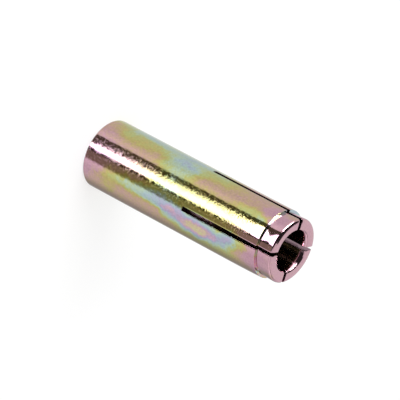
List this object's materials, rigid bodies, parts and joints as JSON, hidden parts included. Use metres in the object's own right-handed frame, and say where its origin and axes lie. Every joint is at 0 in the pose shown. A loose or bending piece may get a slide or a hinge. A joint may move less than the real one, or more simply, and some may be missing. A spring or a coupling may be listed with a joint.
{
  "type": "drop-in anchor",
  "caption": "Drop-in wedge anchor: a steel sleeve threaded inside at one end and slit into leaves at the other, with a loose cone plug inside that spreads them.",
  "frame": {"origin": "centre of the flat face at the threaded mouth, which the anchor stands on", "axes": "+Z along the anchor's axis, from the threaded mouth to the slotted tip; the two saw cuts lie on X and on Y"},
  "size_m": [0.012, 0.012, 0.04],
  "materials": {
    "yellow_zinc": "turned steel, bright zinc plated with an iridescent yellow chromate",
    "plain_steel": "turned steel, bright zinc plated, not coloured"
  },
  "bodies": {
    "sleeve": {"anchor_sleeve": "yellow_zinc"},
    "plug": {"expander_plug": "plain_steel"}
  },
  "joints": [
    {"name": "plug_slide", "type": "slide", "parent": "sleeve", "child": "plug", "axis": [0, 0, 1], "range_m": [0, 0.003]}
  ]
}
